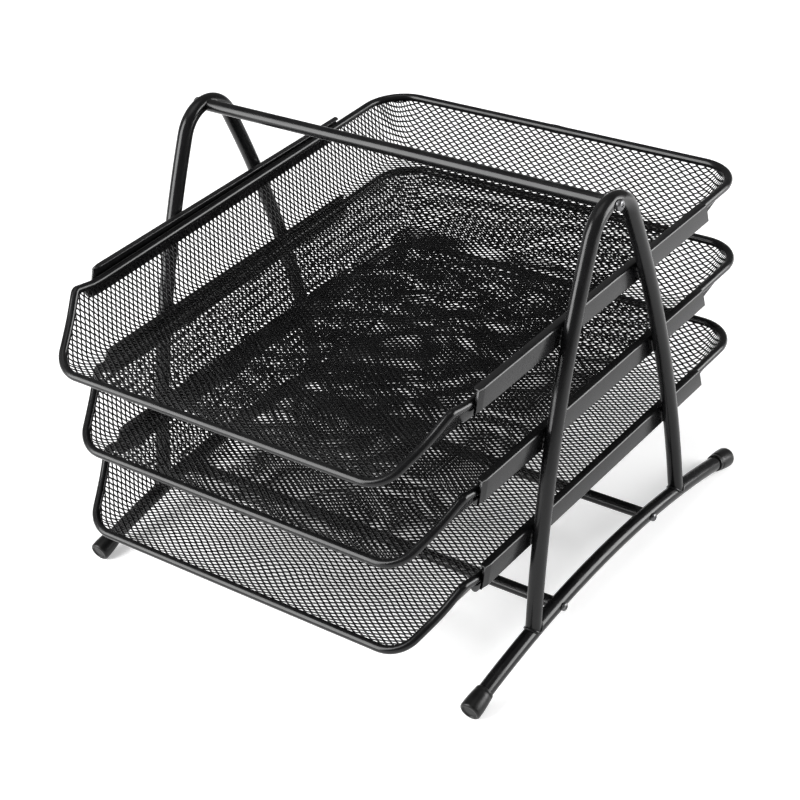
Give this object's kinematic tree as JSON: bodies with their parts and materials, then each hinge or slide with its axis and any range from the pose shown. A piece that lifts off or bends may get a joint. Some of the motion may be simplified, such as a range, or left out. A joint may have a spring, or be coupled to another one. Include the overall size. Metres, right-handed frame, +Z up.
{
  "type": "letter tray",
  "caption": "Tiered desk letter tray: A-frame sides on arched base bars carry channel rails, and wire-rimmed mesh trays slide forward out of them.",
  "frame": {"origin": "on the surface the feet stand on, midway between the side frames, under the handle bar", "axes": "+X to the user's right along the handle bar, -Y to the open front that the trays slide towards, +Z up"},
  "size_m": [0.3044, 0.3698, 0.2631],
  "materials": {
    "black_paint": "satin black powder coat",
    "rail_paint": "satin black powder coat on folded sheet",
    "mesh_paint": "satin black powder coat on expanded metal mesh",
    "foot_rubber": "matt black rubber",
    "screw_steel": "blackened steel screw"
  },
  "bodies": {
    "frame": {"left_side_frame": "black_paint", "left_base_bar": "black_paint", "left_front_foot_cap": "foot_rubber", "left_rear_foot_cap": "foot_rubber", "left_front_screw": "screw_steel", "left_rear_screw": "screw_steel", "left_handle_screw": "screw_steel", "right_side_frame": "black_paint", "right_base_bar": "black_paint", "right_front_foot_cap": "foot_rubber", "right_rear_foot_cap": "foot_rubber", "right_front_screw": "screw_steel", "right_rear_screw": "screw_steel", "right_handle_screw": "screw_steel", "handle_bar": "black_paint", "front_cross_bar": "black_paint", "rear_cross_bar": "black_paint", "upper_left_rail": "rail_paint", "upper_right_rail": "rail_paint", "middle_left_rail": "rail_paint", "middle_right_rail": "rail_paint", "lower_left_rail": "rail_paint", "lower_right_rail": "rail_paint"},
    "upper_tray": {"upper_tray_rim_wire": "black_paint", "upper_tray_mesh_pan": "mesh_paint", "upper_tray_left_runner": "rail_paint", "upper_tray_right_runner": "rail_paint"},
    "middle_tray": {"middle_tray_rim_wire": "black_paint", "middle_tray_mesh_pan": "mesh_paint", "middle_tray_left_runner": "rail_paint", "middle_tray_right_runner": "rail_paint"},
    "lower_tray": {"lower_tray_rim_wire": "black_paint", "lower_tray_mesh_pan": "mesh_paint", "lower_tray_left_runner": "rail_paint", "lower_tray_right_runner": "rail_paint"}
  },
  "joints": [
    {"name": "upper_tray_slide", "type": "slide", "parent": "frame", "child": "upper_tray", "axis": [0, -1, 0], "range_m": [-0.011, 0.2]},
    {"name": "middle_tray_slide", "type": "slide", "parent": "frame", "child": "middle_tray", "axis": [0, -1, 0], "range_m": [-0.004, 0.2]},
    {"name": "lower_tray_slide", "type": "slide", "parent": "frame", "child": "lower_tray", "axis": [0, -1, 0], "range_m": [-0.007, 0.2]}
  ]
}
